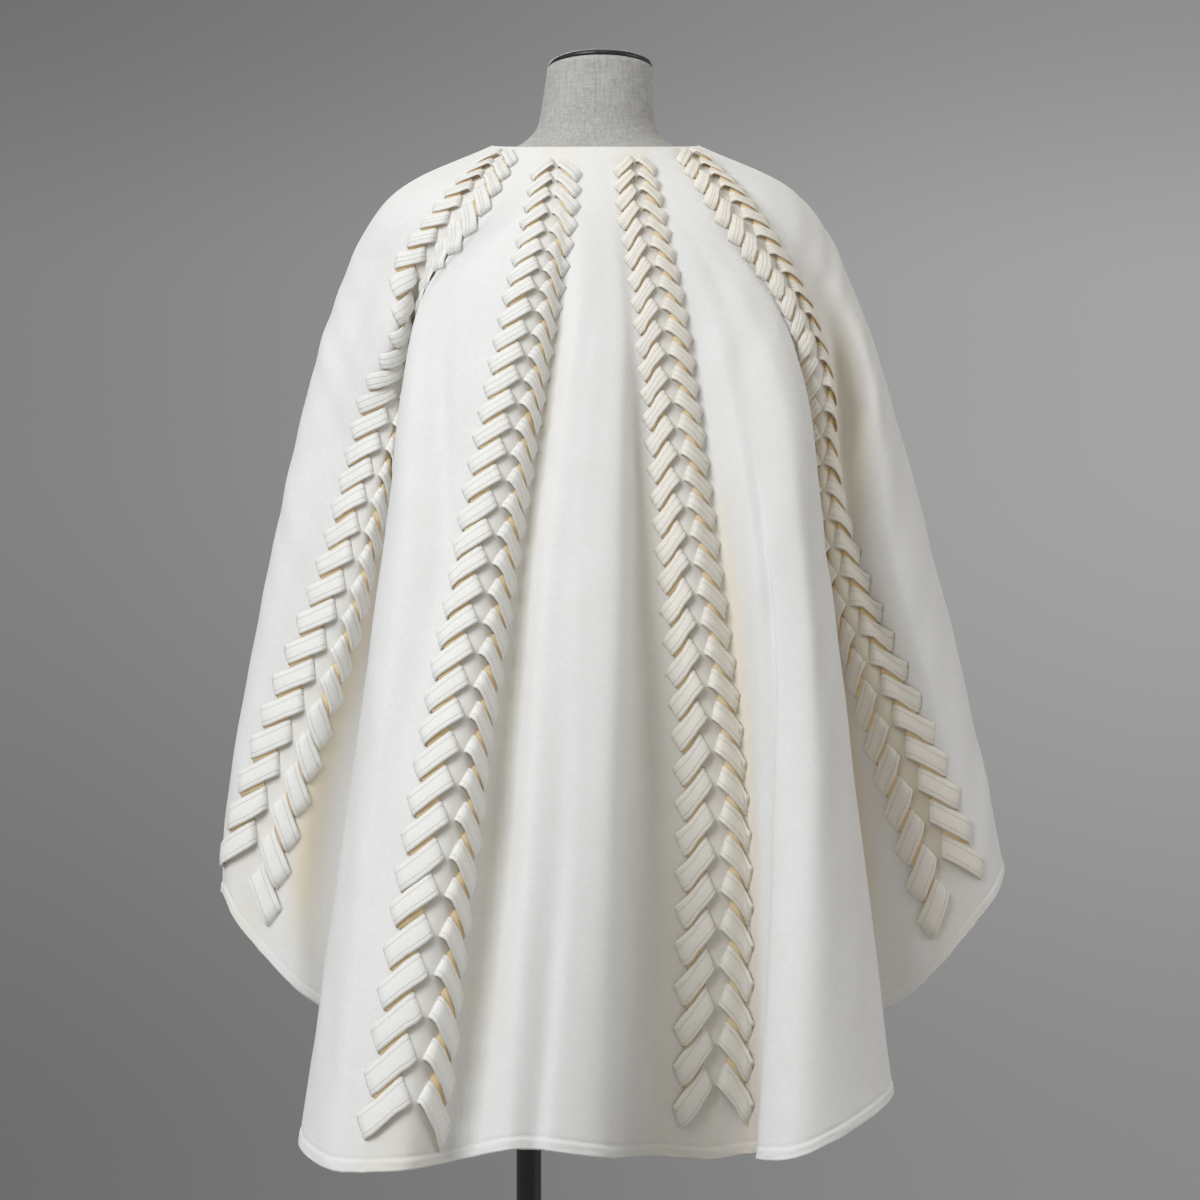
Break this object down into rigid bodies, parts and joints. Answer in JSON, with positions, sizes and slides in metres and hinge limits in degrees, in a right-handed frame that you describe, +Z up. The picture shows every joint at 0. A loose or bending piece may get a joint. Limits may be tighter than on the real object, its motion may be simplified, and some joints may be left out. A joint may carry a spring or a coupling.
{
  "type": "wool cape coat on a limbless dress form",
  "caption": "Wide collarless wool cape coat with braids of laced tabs from neck to hem, hanging in deep flutes on a limbless linen dress form with a pole and a round base.",
  "frame": {"origin": "centre of the base plate's underside, on the floor under the pole", "axes": "+Z up, -Y towards the coat's back, +X towards the wearer's right"},
  "size_m": [0.7471, 0.5904, 1.4948],
  "materials": {
    "wool": "matt ivory double-faced wool",
    "tabs": "matt ivory wool strips, topstitched",
    "linen": "grey-white linen, plain weave",
    "black_cap": "black, satin",
    "black_steel": "black, satin"
  },
  "bodies": {
    "root": {"front_left_panel": "wool", "front_left_wing": "wool", "back_left_wing": "wool", "back_left_panel": "wool", "back_centre_panel": "wool", "back_right_panel": "wool", "back_right_wing": "wool", "front_right_wing": "wool", "front_right_panel": "wool", "tabs_front_inner_left_a": "tabs", "tabs_front_inner_left_b": "tabs", "tabs_front_outer_left_a": "tabs", "tabs_front_outer_left_b": "tabs", "tabs_back_outer_left_a": "tabs", "tabs_back_outer_left_b": "tabs", "tabs_back_inner_left_a": "tabs", "tabs_back_inner_left_b": "tabs", "tabs_back_inner_right_a": "tabs", "tabs_back_inner_right_b": "tabs", "tabs_back_outer_right_a": "tabs", "tabs_back_outer_right_b": "tabs", "tabs_front_outer_right_a": "tabs", "tabs_front_outer_right_b": "tabs", "tabs_front_inner_right_a": "tabs", "tabs_front_inner_right_b": "tabs", "form_torso": "linen", "neck_cap": "black_cap", "stand_pole": "black_steel", "stand_base": "black_steel"}
  },
  "joints": []
}
